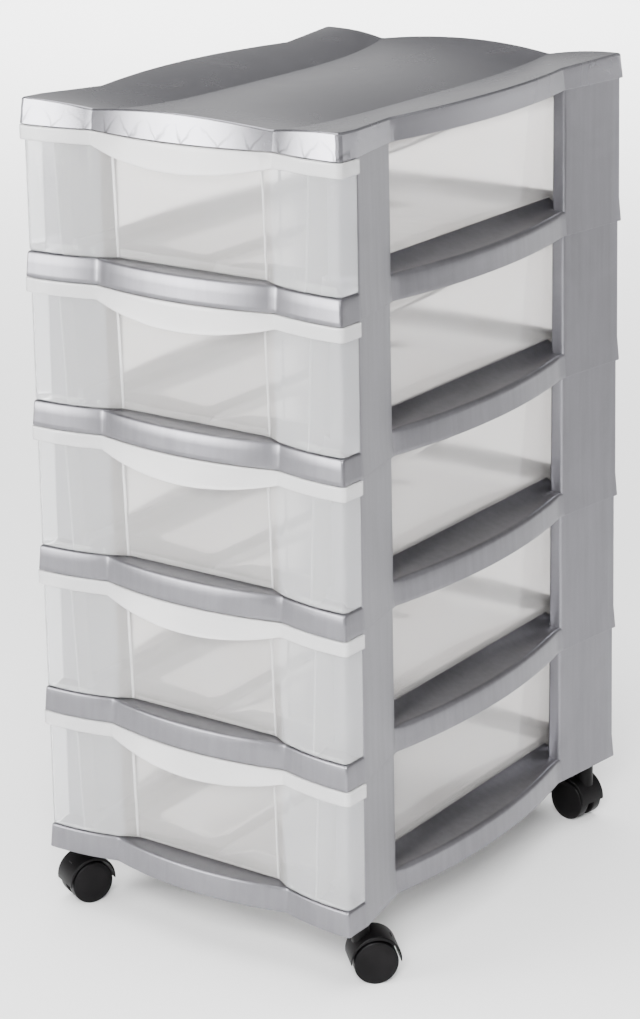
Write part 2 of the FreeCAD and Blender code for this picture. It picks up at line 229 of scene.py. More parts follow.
def silver_plastic(name, gloss, shade, contrast):
    """Satin plastic with fine metal flake and the faint upright streaks that its flow into the mould leaves.

    The gloss is the lower bound of its roughness. The shade is a factor on its grey, which the streaks vary
    by up to the contrast.
    """
    material = bpy.data.materials.new(name)
    material.use_nodes = True
    nodes, links = material.node_tree.nodes, material.node_tree.links
    shader = nodes["Principled BSDF"]
    shader.inputs["Metallic"].default_value = 0.9
    place = nodes.new("ShaderNodeTexCoord")
    flake = nodes.new("ShaderNodeTexNoise")
    flake.inputs["Scale"].default_value = 1500.0
    flake.inputs["Detail"].default_value = 1.5
    flow = nodes.new("ShaderNodeTexNoise")
    flow.inputs["Scale"].default_value = 14.0
    flow.inputs["Detail"].default_value = 4.0
    flow.inputs["Distortion"].default_value = 1.6
    upright = nodes.new("ShaderNodeMapping")
    upright.inputs["Scale"].default_value = (170.0, 170.0, 10.0)
    line = nodes.new("ShaderNodeTexNoise")
    line.inputs["Scale"].default_value = 1.0
    line.inputs["Detail"].default_value = 2.0
    marks = nodes.new("ShaderNodeMath")
    grey = nodes.new("ShaderNodeValToRGB")
    grey.color_ramp.elements[0].position = 0.3
    grey.color_ramp.elements[0].color = (0.227, 0.224, 0.242, 1)
    grey.color_ramp.elements[1].position = 0.7
    grey.color_ramp.elements[1].color = (0.25, 0.247, 0.267, 1)
    streak = nodes.new("ShaderNodeMapRange")
    streak.inputs["From Min"].default_value = 0.7
    streak.inputs["From Max"].default_value = 1.3
    streak.inputs["To Min"].default_value = (1 - contrast) * shade
    streak.inputs["To Max"].default_value = (1 + contrast) * shade
    tint = nodes.new("ShaderNodeVectorMath")
    tint.operation = "SCALE"
    tint.name = "shaded_grey"
    satin = nodes.new("ShaderNodeMapRange")
    satin.inputs["To Min"].default_value = gloss
    satin.inputs["To Max"].default_value = gloss + 0.07
    links.new(place.outputs["Object"], flake.inputs["Vector"])
    links.new(place.outputs["Object"], flow.inputs["Vector"])
    links.new(flake.outputs["Fac"], grey.inputs["Fac"])
    links.new(place.outputs["Object"], upright.inputs["Vector"])
    links.new(upright.outputs["Vector"], line.inputs["Vector"])
    links.new(flow.outputs["Fac"], marks.inputs[0])
    links.new(line.outputs["Fac"], marks.inputs[1])
    links.new(marks.outputs["Value"], streak.inputs["Value"])
    links.new(grey.outputs["Color"], tint.inputs[0])
    links.new(streak.outputs["Result"], tint.inputs["Scale"])
    links.new(tint.outputs["Vector"], shader.inputs["Base Color"])
    links.new(flow.outputs["Fac"], satin.inputs["Value"])
    links.new(satin.outputs["Result"], shader.inputs["Roughness"])
    return material


def base_ring(base):
    """The base as a closed ring of loops: up the skirt, over its edge, across to the opening and back.

    A loop is the outline at an inset, or the nearest points of the rounded opening grown by a reach. The top
    edge is rounded more along the bowed sides, where the loops slide towards a second outline.
    """
    plain = outline(0)
    lengthwise = np.clip((plain[:, 1] - front_post_back) / edge_blend, 0, 1)
    lengthwise *= np.clip((rear_post_front - plain[:, 1]) / edge_blend, 0, 1)
    at_side = lengthwise * lengthwise * (3 - 2 * lengthwise) * (np.abs(plain[:, 0]) > crease_half)
    centre = np.array([0, (opening_front + opening_rear) / 2])
    core = np.array([opening_half, (opening_rear - opening_front) / 2]) - opening_round

    def opening(reach):
        offset = plain - centre
        held = np.clip(offset, -core, core)
        out = offset - held
        return centre + held + out / np.linalg.norm(out, axis=1)[:, None] * (opening_round + reach)

    rows = []
    for inset, z in ((small_round, 0), (small_cut, small_cut), (0, small_round)):
        rows.append(placed(outline(inset), base + z))
    edge = bar_edge + (side_edge - bar_edge) * at_side
    for share in (0.2, 0.6, 1.0):
        z = (bar_height - edge) * share
        level = (bar_height - bar_edge) * share
        rows.append(placed(outline(bar_draft * level / bar_height), base + z))
    for angle in quarter(7)[1:]:
        crisp = outline(bar_draft + bar_edge * (1 - math.cos(angle)))
        soft = outline(bar_draft + side_edge * (1 - math.cos(angle)))
        plan = crisp + (soft - crisp) * at_side[:, None]
        rows.append(placed(plan, base + bar_height - edge * (1 - math.sin(angle))))
    rows.append(placed(outline(bar_draft + side_edge + rim_margin), base + bar_height))
    lip = bar_height - lip_depth
    for reach, z in ((opening_edge, bar_height), (opening_cut, bar_height - opening_cut),
                     (0, bar_height - opening_edge), (0, lip + lip_edge), (lip_edge, lip),
                     (wall - lip_edge, lip), (wall, lip + lip_edge), (wall, bar_height - wall)):
        rows.append(placed(opening(reach), base + z))
    for inset, z in ((wall + bar_draft, bar_height - wall), (wall, foot_cut), (wall - foot_cut, 0)):
        rows.append(placed(outline(inset), base + z))
    return np.stack(rows)


def post_loop(inset, front, inner):
    """Plan loop of a right-hand post, with its outer side on the outline and its corners rounded."""
    half = half_width - inset
    if front:
        back = front_post_back - post_gap - inner
        slope = (return_flare + waist) / (front_post_back - return_depth)
        first = return_depth + inner
        stops = [
            (post_inner + inner, first, 0, post_round),
            (half + return_flare, first, 0, post_round),
            (half + return_flare - slope * (back - return_depth), back, 0, post_round),
            (post_inner + inner, back, 0, post_round),
        ]
    else:
        first = rear_post_front + post_gap + inner
        outer = first + post_splay
        behind = rear_post_front + step_depth + inner
        slope = waist / (depth - rear_post_front)
        share = (half_width - post_inner - inner) / (half_width - crease_half)
        flank = depth - inset - rear_sweep * share + 4 * flank_bulge * share * (1 - share)
        stops = [
            (post_inner + step_width + inner, first, 0, post_round),
            (half - waist + slope * (outer - rear_post_front), outer, 0, post_round),
            (half, depth - inset, flank_bulge * share * share, corner_round),
            (post_inner + inner, flank, 0, post_round),
            (post_inner + inner, behind, 0, post_round),
            (post_inner + step_width + inner, behind, 0, post_round),
        ]
    return plan_path(stops)


def posts(base):
    """The four posts as capped stacks of loops: in the hollow foot, round its rim and up to the spigots."""
    levels = [(wall, wall, foot_depth), (wall, wall, post_foot), (-post_proud, 0, post_foot),
              (bar_draft - post_proud, 0, bar_height), (post_draft, 0, tier_pitch - post_cut),
              (post_draft + post_cut, post_cut, tier_pitch), (spigot_inset, wall + spigot_gap, tier_pitch),
              (spigot_inset, wall + spigot_gap, tier_pitch + spigot_height)]
    grids = []
    for front in (True, False):
        stack = np.stack([placed(post_loop(inset, front, inner), base + z) for inset, inner, z in levels])
        grids += [(stack, False, True, True), (stack * (-1, 1, 1), False, True, True)]
    return grids


def guides(base):
    """The two drawer guides: a straight inner face, a crest, and a cove that runs out to the bowed edge.

    The cove's height falls with the square of the share that is left of the way from the crest to the edge.
    """
    top = base + bar_height
    crest = guide_face + guide_crest
    back = np.linspace(return_depth, rear_post_front + step_depth, 49)[:, None]
    edge = outline(bar_draft + side_edge)
    between = (edge[:, 1] > return_depth / 2) & (edge[:, 1] < depth - return_depth)
    side = edge[between & (edge[:, 0] > crease_half)]
    reach = np.interp(back, side[:, 1], side[:, 0])
    share = np.linspace(0, 1, 15)
    cove_x = crest + (reach - crest) * share
    cove_z = np.broadcast_to(top + guide_rise * (1 - share) ** 2, cove_x.shape)
    rim_x = guide_face + np.array([0, 0, small_cut, small_round])
    rim_z = top + np.array([-wall, guide_rise - small_round, guide_rise - small_cut, guide_rise])
    rim = (len(back), len(rim_x))
    x = np.concatenate([np.broadcast_to(rim_x, rim), cove_x, reach], 1)
    z = np.concatenate([np.broadcast_to(rim_z, rim), cove_z, np.full_like(reach, top - wall)], 1)
    strip = placed(np.stack([x, np.broadcast_to(back, x.shape)], -1), z)
    return [(strip, False, True, True), (strip * (-1, 1, 1), False, True, True)]


# The frames take a darker copy of the cover's silver: their grey at seven tenths of the cover's is painted
# shade.
painted_shade_silver = silver_plastic("silver_plastic", gloss=0.27, shade=0.7, contrast=0.08)
for tier in range(1, tier_count + 1):
    base = base_height + (tier_count - tier) * tier_pitch
    grids = [(base_ring(base), True, True, False)] + posts(base) + guides(base)
    piece = moulding(f"tier_{tier}_moulding", grids, "cabinet", painted_shade_silver)
    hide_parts(f"tier_frame_{tier}")

# Top cover. A lid of the same silver plastic that plugs over the upper posts' spigots. Its top is dished from
# front to back, with a crowned middle panel between two creases, and its skirt repeats the bars' outline.

cover_base = base_height + tier_count * tier_pitch
cover_height = 20.0
cover_draft = 1.5
cover_edge = 2.0
crease_drop = 2.5
cover_dish = 10.0
crease_draw = 7.0
cover_crown = 4.5
shoulder_bulge = 1.5
dish_power = 4
shoulder_half = half_width + side_bow
chevron_width = 13.0
chevron_height = 17.0
chevron_sway = 24.0
chevron_blur = 3.0
chevron_soft = 0.3
chevron_depth = 1.1
chevron_fade = 16.0
skirt_front = 14.0


def cover_rise(plan):
    """Height of the cover's top: two bulged shoulders that fall to the creases, and a crown between them.

    The creases dip and draw together towards the middle of the depth by a fourth-power dish.
    """
    dish = 1 - np.minimum(1, np.abs(2 * plan[..., 1] / depth - 1)) ** dish_power
    crease_x = crease_half - crease_draw * dish
    crease_z = cover_height - crease_drop - cover_dish * dish
    x = np.abs(plan[..., 0])
    share = np.clip((x - crease_x) / (shoulder_half - crease_x), 0, 1)
    shoulder = crease_z + (cover_height - crease_z) * share + 4 * shoulder_bulge * share * (1 - share)
    crown = crease_z + cover_crown * (1 - np.minimum(1, x / crease_x) ** 2)
    return np.where(x > crease_x, shoulder, crown)


def filled(front, rear, left, right):
    """Plan grid between four edges: the mean of the two ways across, less the share of the corners."""
    u = np.linspace(0, 1, len(front))[None, :, None]
    v = np.linspace(0, 1, len(left))[:, None, None]
    across = (1 - v) * front[None] + v * rear[None]
    along = (1 - u) * left[:, None] + u * right[:, None]
    corners = (1 - v) * ((1 - u) * front[0] + u * front[-1]) + v * ((1 - u) * rear[0] + u * rear[-1])
    return across + along - corners


def resampled(run, count):
    """Points at even shares of the length along a run of points."""
    length = np.concatenate([[0], np.cumsum(np.linalg.norm(np.diff(run, axis=0), axis=1))])
    share = np.linspace(0, length[-1], count)
    return np.stack([np.interp(share, length, run[:, 0]), np.interp(share, length, run[:, 1])], -1)


def cover_panels(inset):
    """Plan grids of the left shoulder, the crowned middle and the right shoulder, which share creases."""
    loop = outline(inset)

    def nearest(x, back):
        return int(np.argmin(np.hypot(loop[:, 0] - x, loop[:, 1] - back)))

    front_crease = nearest(crease_half, crease_sweep + inset)
    front_corner = nearest(half_width - inset, inset)
    rear_corner = nearest(half_width - inset, depth - inset)
    rear_crease = nearest(crease_half, depth - rear_sweep - inset)
    side_count, end_count, bar_count = 97, 25, 48
    flank = resampled(loop[front_crease:front_corner + 1], end_count)
    side = resampled(loop[front_corner:rear_corner + 1], side_count)
    behind = resampled(loop[rear_corner:rear_crease + 1], end_count)[::-1]
    first, last = flank[0], behind[0]
    back = first[1] + (last[1] - first[1]) * np.linspace(0, 1, side_count)
    dish = 1 - np.abs(2 * back / depth - 1) ** dish_power
    line = np.stack([crease_half - crease_draw * dish, back], -1)
    line[0], line[-1] = first, last
    right = filled(flank, behind, line, side)
    flip = np.array([-1.0, 1.0])
    front_bar = bowed(first * flip, first, front_bow, bar_count)
    rear_bar = bowed(last, last * flip, rear_bow, bar_count)
    front_bar = np.concatenate([front_bar, first[None]])
    rear_bar = np.concatenate([rear_bar, (last * flip)[None]])[::-1]
    middle = filled(front_bar, rear_bar, line * flip, line)
    return [right[:, ::-1] * flip, middle, right]


def cover_top(inset):
    """The three panels lifted to the cover's height."""
    return [placed(plan, cover_base + cover_rise(plan)) for plan in cover_panels(inset)]


def cover_rim(inset):
    """Loop round the three panels' outer edge, front first, in plan."""
    left, middle, right = cover_panels(inset)
    return np.concatenate([
        left[0, :-1], middle[0, :-1], right[0, :-1], right[:-1, -1],
        right[-1, :0:-1], middle[-1, :0:-1], left[-1, :0:-1], left[:0:-1, 0],
    ])


def cover_skirt():
    """Loops from the panels' edge over a rounded edge and down the drafted skirt to its foot."""
    inner = cover_rim(cover_draft + cover_edge)
    rise = cover_rise(inner)
    rows = [placed(inner, cover_base + rise)]
    for angle in quarter(7)[::-1][1:]:
        plan = cover_rim(cover_draft + cover_edge * (1 - math.cos(angle)))
        rows.append(placed(plan, cover_base + rise - cover_edge * (1 - math.sin(angle))))
    for share in (0.66, 0.33):
        rows.append(placed(cover_rim(cover_draft * share), cover_base + (rise - cover_edge) * share))
    for inset, z in ((0, small_round), (small_cut, small_cut), (small_round, 0)):
        rows.append(placed(cover_rim(inset), cover_base + z))
    return np.stack(rows)


def chevron_marks(material):
    """Faint V-shaped flow marks along the front of the skirt, multiplied into the shade of the grey.

    A mark lies where the height over the skirt's foot is near a zigzag of x, bent and broken up by noise, and
    it fades upwards.
    """
    nodes, links = material.node_tree.nodes, material.node_tree.links

    def step(operation, first, second=None, third=None):
        node = nodes.new("ShaderNodeMath")
        node.operation = operation
        for socket, value in zip(node.inputs, (first, second, third)):
            if isinstance(value, (int, float)):
                socket.default_value = value
            elif value is not None:
                links.new(value, socket)
        return node.outputs["Value"]

    place = nodes.new("ShaderNodeTexCoord")
    parts = nodes.new("ShaderNodeSeparateXYZ")
    bend = nodes.new("ShaderNodeTexNoise")
    bend.inputs["Scale"].default_value = 45.0
    links.new(place.outputs["Object"], parts.inputs["Vector"])
    links.new(place.outputs["Object"], bend.inputs["Vector"])
    x = step("MULTIPLY_ADD", bend.outputs["Fac"], chevron_sway * mm, parts.outputs["X"])
    zigzag = step("MULTIPLY", step("PINGPONG", x, chevron_width * mm), chevron_height / chevron_width)
    above = step("SUBTRACT", parts.outputs["Z"], cover_base * mm)
    off = step("ABSOLUTE", step("SUBTRACT", above, zigzag))
    near = step("SMOOTH_MIN", step("DIVIDE", off, chevron_blur * mm), 1.0, chevron_soft)
    mark = step("SUBTRACT", 1.0, near)
    fading = step("MAXIMUM", 0.0, step("SUBTRACT", 1.0, step("DIVIDE", above, chevron_fade * mm)))
    patchy = step("MULTIPLY", step("MULTIPLY", bend.outputs["Fac"], chevron_depth), fading)
    broken = step("MULTIPLY", mark, patchy)
    front = step("LESS_THAN", parts.outputs["Y"], (skirt_front - middle_depth) * mm)
    darker = step("SUBTRACT", 1.0, step("MULTIPLY", broken, front))
    factor = nodes["shaded_grey"].inputs["Scale"]
    before = factor.links[0].from_socket
    links.new(step("MULTIPLY", before, darker), factor)


cover_silver = silver_plastic("cover_silver", gloss=0.23, shade=1.0, contrast=0.03)
chevron_marks(cover_silver)
grids = [(panel, False, False, False) for panel in cover_top(cover_draft + cover_edge)]
grids.append((cover_skirt(), False, True, False))
cover = moulding("cover_moulding", grids, "cabinet", cover_silver, crease=9.0)
shell = cover.modifiers.new("shell", "SOLIDIFY")
shell.thickness = wall * mm
shell.offset = -1
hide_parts("top_cover")

# Drawers. Each is one frosted see-through moulding: a drafted tub on the guides, a front that wraps round to
# the posts with its middle set back, and a lip whose middle hangs down as the pull.

drawer_wall = 2.0
face_setback = 1.5
bar_gap = 0.9
lip_gap = 0.8
runner_gap = 0.3
rim_drop = 5.0
face_low = bar_height + bar_gap
drawer_top = tier_pitch - lip_gap
tub_low = bar_height + runner_gap
tub_rim = drawer_top - rim_drop
tub_half_low = 112.25
tub_half_high = 116.25
tub_rear = 388.0
tub_lean = 3.0
tub_round = 12.0
tub_tuck = 0.1
floor_round = 4.0
panel_half = 69.0
panel_low = 18.0
panel_high = 14.0
step_round = 0.8
wing_round = 5.0
front_round = 5.0
wing_gap = 0.6
wing_end = return_depth - wing_gap
lip_proud = 1.2
lip_thickness = 3.0
lip_height = 11.0
apron_drop = 11.0
sheet_edge = 0.6


def clear_plastic(name, clarity, frost_low, shade):
    """Frosted polypropylene, see-through by its clarity, with a faint cloud.

    The cloud lightens the shade and makes the surface duller than the lowest frost.
    """
    material = bpy.data.materials.new(name)
    material.use_nodes = True
    nodes, links = material.node_tree.nodes, material.node_tree.links
    shader = nodes["Principled BSDF"]
    shader.inputs["Transmission Weight"].default_value = clarity
    shader.inputs["IOR"].default_value = 1.4
    place = nodes.new("ShaderNodeTexCoord")
    cloud = nodes.new("ShaderNodeTexNoise")
    cloud.inputs["Scale"].default_value = 22.0
    cloud.inputs["Detail"].default_value = 3.0
    tint = nodes.new("ShaderNodeValToRGB")
    tint.color_ramp.elements[0].position = 0.3
    tint.color_ramp.elements[0].color = (*shade, 1)
    tint.color_ramp.elements[1].position = 0.7
    tint.color_ramp.elements[1].color = (*((1 + v) / 2 for v in shade), 1)
    frost = nodes.new("ShaderNodeMapRange")
    frost.inputs["To Min"].default_value = frost_low
    frost.inputs["To Max"].default_value = frost_low + 0.08
    links.new(place.outputs["Object"], cloud.inputs["Vector"])
    links.new(cloud.outputs["Fac"], tint.inputs["Fac"])
    links.new(tint.outputs["Color"], shader.inputs["Base Color"])
    links.new(cloud.outputs["Fac"], frost.inputs["Value"])
    links.new(frost.outputs["Result"], shader.inputs["Roughness"])
    return material


def front_path(panel_depth):
    """Plan path of the front from one wing's end to the other, its middle panel at that depth."""
    half = half_width - face_setback
    reach = half + return_flare * wing_end / return_depth
    right = [
        (panel_half, panel_depth, 0, step_round),
        (crease_half, crease_sweep + face_setback, flank_bulge, wing_round),
        (half, face_setback, 0, front_round),
        (reach, wing_end, 0, 0),
    ]
    left = [(-x, back, flank_bulge if i == 2 else 0, rounding)
            for i, (x, back, bulge, rounding) in reversed(list(enumerate(right)))]
    return plan_path(left + right, closed=False)


def front_sheet(base):
    """Outer face of the front: the plan path slides from its lower to its upper form with the height."""
    lean = (panel_high - panel_low) / (drawer_top - tub_low)
    rows = []
    for share in np.linspace(0, 1, 13):
        z = face_low + (drawer_top - face_low) * share
        rows.append(placed(front_path(panel_low + lean * (z - tub_low)), base + z))
    return np.stack(rows)


def front_inner(half):
    """Depth of the front's inner face at the drawer's floor, at a distance from the middle."""
    step = np.interp(half, [panel_half, crease_half], [panel_low, crease_sweep + face_setback])
    share = (half - crease_half) / (half_width - face_setback - crease_half)
    flank = crease_sweep * (1 - share) + face_setback - 4 * flank_bulge * share * (1 - share)
    return (flank if half > crease_half else step) + drawer_wall


def tub_sheet(base):
    """Outer face of the tub: open U-shaped loops down the wall, round the foot and in to the middle line."""
    rows = []
    foot = floor_round / (tub_rim - tub_low)
    for share in np.linspace(1, foot, 9):
        half = tub_half_low + (tub_half_high - tub_half_low) * share
        rear = tub_rear - tub_lean * (1 - share)
        rows.append((half, rear, tub_round, tub_low + (tub_rim - tub_low) * share))
    for angle in quarter(6)[1:]:
        draw = floor_round * (1 - math.cos(angle))
        rows.append((tub_half_low - draw, tub_rear - tub_lean - draw, tub_round - draw,
                     tub_low + floor_round * (1 - math.sin(angle))))
    for share in (0.2, 0.37, 0.6, 0.8, 0.995):
        draw = floor_round + (tub_half_low - floor_round) * share
        bend = (tub_round - floor_round) * (1 - share)
        rows.append((tub_half_low - draw, tub_rear - tub_lean - draw, bend, tub_low))
    grid = []
    for half, rear, rounding, z in rows:
        first = front_inner(half) - tub_tuck
        stops = [(half, first, 0, 0), (half, rear, 0, rounding),
                 (-half, rear, 0, rounding), (-half, first, 0, 0)]
        grid.append(placed(plan_path(stops, closed=False), base + z))
    return np.stack(grid)


def lip_sheet(base):
    """Outer face of the lip: the front outline, from an edge that hangs down in an arc up to the top."""
    half = half_width + lip_proud
    reach = half + return_flare * wing_end / return_depth
    right = [(crease_half, crease_sweep - lip_proud, flank_bulge, crease_round),
             (half, -lip_proud, 0, front_round), (reach, wing_end, 0, 0)]
    left = [(-reach, wing_end, 0, 0), (-half, -lip_proud, flank_bulge, front_round),
            (-crease_half, crease_sweep - lip_proud, front_bow, crease_round)]
    plan = plan_path(left + right, closed=False)
    hang = apron_drop * np.maximum(0, 1 - (plan[:, 0] / crease_half) ** 2)
    low = drawer_top - lip_height - hang
    return np.stack([placed(plan, base + low + (drawer_top - low) * share) for share in np.linspace(0, 1, 7)])


def web_sheet(base):
    """Top face that joins the pull's upper edge to the set-back panel, between the creases."""
    x = np.linspace(-crease_half, crease_half, 37)
    bow = crease_sweep - lip_proud - front_bow * (1 - (x / crease_half) ** 2) + lip_thickness / 2
    panel = np.interp(np.abs(x), [panel_half, crease_half], [panel_high, crease_sweep + face_setback])
    back = panel + drawer_wall / 2
    share = np.linspace(0, 1, 5)[:, None]
    return placed(np.stack(np.broadcast_arrays(x, bow + (back - bow) * share), -1), base + drawer_top)


def share_out(front):
    """Number each face of a front for its look: the clear panel, the panel's edge strips with painted
    highlight, or the wings with painted light.
    """
    mesh = front.data
    middle = np.empty(3 * len(mesh.polygons))
    mesh.polygons.foreach_get("center", middle)
    across = np.abs(middle[::3]) / mm
    # Faces along the panel's step edges take the whiter copy, which paints highlight lines there.
    edge = np.abs(across - panel_half) < step_round
    look = np.where(across > crease_half - wing_round, 2, edge.astype(np.int32))
    mesh.polygons.foreach_set("material_index", look.astype(np.int32))


clear = clear_plastic("clear_plastic", 0.83, 0.06, (0.975, 0.95, 0.932))
# A whiter, less clear copy of the same plastic paints highlight lines on the panel's edge strips and along
# the sheets' rims; the lip is made of it whole.
clear_lip_and_painted_highlight = clear_plastic("clear_lip_and_painted_highlight", 0.62, 0.12, (0.97, 0.965, 0.968))
# The wings take a whiter, bluer copy of the same plastic; their extra lightness is painted light.
clear_wing_painted_light = clear_plastic("clear_wing_painted_light", 0.79, 0.05, (0.965, 0.97, 0.985))
for tier in range(1, tier_count + 1):
    base = base_height + (tier_count - tier) * tier_pitch
    sheets = {
        "front": (front_sheet(base), drawer_wall),
        "tub": (tub_sheet(base), drawer_wall),
        "lip": (lip_sheet(base), lip_thickness),
        "ledge": (web_sheet(base), drawer_wall),
    }
    for name, (sheet, thickness) in sheets.items():
        piece = moulding(f"drawer_{tier}_{name}", [(sheet, False, False, False)], f"drawer_{tier}",
                         clear_lip_and_painted_highlight if name == "lip" else clear, crease=30.0, turn_out=False)
        piece.data.materials.append(clear_lip_and_painted_highlight)
        if name == "front":
            piece.data.materials.append(clear_wing_painted_light)
            share_out(piece)
        shell = piece.modifiers.new("wall", "SOLIDIFY")
        shell.thickness = thickness * mm
        shell.offset = -1
        shell.use_even_offset = True
        # The rims take the slot after their face's, the whiter copy, which paints highlight lines along the
        # sheets' edges.
        shell.material_offset_rim = 1
        edge = piece.modifiers.new("edge", "BEVEL")
        edge.width = sheet_edge * mm
        edge.segments = 2
        edge.limit_method = "ANGLE"
        edge.angle_limit = math.radians(60)
        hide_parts(f"drawer_{tier}")

# Casters. Each has a black moulded hood that arches over two black wheels. A core between the wheels holds a
# steel axle, and a neck holds a steel stem, which turns in a moulded socket in the foot of the post.

caster_inset = 11.5
caster_front = 15.0
caster_rear = 23.0
caster_across = post_inner + caster_inset
caster_depths = {"front": return_depth + caster_front, "rear": depth - caster_rear}
caster_angles = {"front_left": 245.0, "front_right": 45.0, "rear_left": 225.0, "rear_right": 168.0}
trail = 10.0
wheel_radius = 17.5
wheel_width = 11.0
wheel_dome = 1.2
wheel_round = 1.5
inner_round_share = 0.8
inner_flat_share = 1.5
wheel_gap = 0.4
hub_radius = 3.0
axle_place = np.array([trail, 0, wheel_radius])
core_width = 6.0
core_radius = 14.0
core_edge = 0.4
riser_height = 17.0
hood_gap = 1.8
hood_inner = wheel_radius + hood_gap
hood_wall = 2.6
hood_tip = 0.5
hood_half = core_width / 2 + wheel_width + wheel_gap - wheel_dome
hood_round = 1.1
hood_round_share = 0.45
neck_radius = 7.0
neck_top = 61.6
neck_edge = 0.6
neck_sink = 5.0


def black_plastic():
    """Black nylon with a fine leathery grain, a little glossier where it has been rubbed."""
    material = bpy.data.materials.new("black_plastic")
    material.use_nodes = True
    nodes, links = material.node_tree.nodes, material.node_tree.links
    shader = nodes["Principled BSDF"]
    shader.inputs["Specular IOR Level"].default_value = 0.1
    place = nodes.new("ShaderNodeTexCoord")
    grain = nodes.new("ShaderNodeTexNoise")
    grain.inputs["Scale"].default_value = 900.0
    grain.inputs["Detail"].default_value = 2.0
    rub = nodes.new("ShaderNodeTexNoise")
    rub.inputs["Scale"].default_value = 60.0
    tone = nodes.new("ShaderNodeValToRGB")
    tone.color_ramp.elements[0].position = 0.3
    tone.color_ramp.elements[0].color = (0.0022, 0.002, 0.0022, 1)
    tone.color_ramp.elements[1].position = 0.7
    tone.color_ramp.elements[1].color = (0.005, 0.0046, 0.005, 1)
    gloss = nodes.new("ShaderNodeMapRange")
    gloss.inputs["To Min"].default_value = 0.3
    gloss.inputs["To Max"].default_value = 0.5
    bump = nodes.new("ShaderNodeBump")
    bump.inputs["Strength"].default_value = 0.1
    bump.inputs["Distance"].default_value = 0.0002
    links.new(place.outputs["Object"], grain.inputs["Vector"])
    links.new(place.outputs["Object"], rub.inputs["Vector"])
    links.new(rub.outputs["Fac"], tone.inputs["Fac"])
    links.new(tone.outputs["Color"], shader.inputs["Base Color"])
    links.new(rub.outputs["Fac"], gloss.inputs["Value"])
    links.new(gloss.outputs["Result"], shader.inputs["Roughness"])
    links.new(grain.outputs["Fac"], bump.inputs["Height"])
    links.new(bump.outputs["Normal"], shader.inputs["Normal"])
    return material


def turned_steel():
    """Bright drawn steel with fine marks round it that make its gloss uneven."""
    material = bpy.data.materials.new("steel")
    material.use_nodes = True
    nodes, links = material.node_tree.nodes, material.node_tree.links
    shader = nodes["Principled BSDF"]
    shader.inputs["Metallic"].default_value = 1.0
    place = nodes.new("ShaderNodeTexCoord")
    marks = nodes.new("ShaderNodeTexNoise")
    marks.inputs["Scale"].default_value = 700.0
    tone = nodes.new("ShaderNodeValToRGB")
    tone.color_ramp.elements[0].color = (0.42, 0.42, 0.43, 1)
    tone.color_ramp.elements[1].color = (0.62, 0.62, 0.64, 1)
    gloss = nodes.new("ShaderNodeMapRange")
    gloss.inputs["To Min"].default_value = 0.2
    gloss.inputs["To Max"].default_value = 0.4
    links.new(place.outputs["Object"], marks.inputs["Vector"])
    links.new(marks.outputs["Fac"], tone.inputs["Fac"])
    links.new(tone.outputs["Color"], shader.inputs["Base Color"])
    links.new(marks.outputs["Fac"], gloss.inputs["Value"])
    links.new(gloss.outputs["Result"], shader.inputs["Roughness"])
    return material


def swept(profile, count):
    """Grid of a profile of (radius, along) points carried round the Y axis in even steps of a full turn."""
    angle = np.arange(count)[:, None] * 2 * math.pi / count
    radius, along = profile[:, 0], np.broadcast_to(profile[:, 1], (count, len(profile)))
    return np.stack([radius * np.cos(angle), along, radius * np.sin(angle)], -1)


def rounded(corner, first, last, radius):
    """Points of a quarter arc of that radius in a square corner, from the first side to the last one."""
    corner, first, last = (np.array(v, float) for v in (corner, first, last))
    turn = quarter(6)[:, None]
    return corner + radius * ((1 - np.sin(turn)) * first + (1 - np.cos(turn)) * last)


def wheel_grid(side):
    """A wheel turned about its axle: flat inside, with rounded tread edges and a domed outer face."""
    face = wheel_width - wheel_dome
    radius = np.linspace(wheel_radius - wheel_round, 0, 12)
    flat = wheel_radius - 2 * wheel_round
    dome = face + wheel_dome * np.sqrt(np.clip((wheel_radius - wheel_round - radius) / flat, 0, 1))
    profile = np.concatenate([
        np.array([[0, 0], [hub_radius, 0], [wheel_radius - inner_flat_share * wheel_round, 0]]),
        rounded((wheel_radius, 0), (-1, 0), (0, 1), inner_round_share * wheel_round),
        rounded((wheel_radius, face), (0, -1), (-1, 0), wheel_round),
        np.stack([radius, dome], -1)[1:],
    ])
    grid = swept(profile, 96)
    grid[..., 1] = side * (grid[..., 1] + core_width / 2 + wheel_gap)
    return grid + axle_place


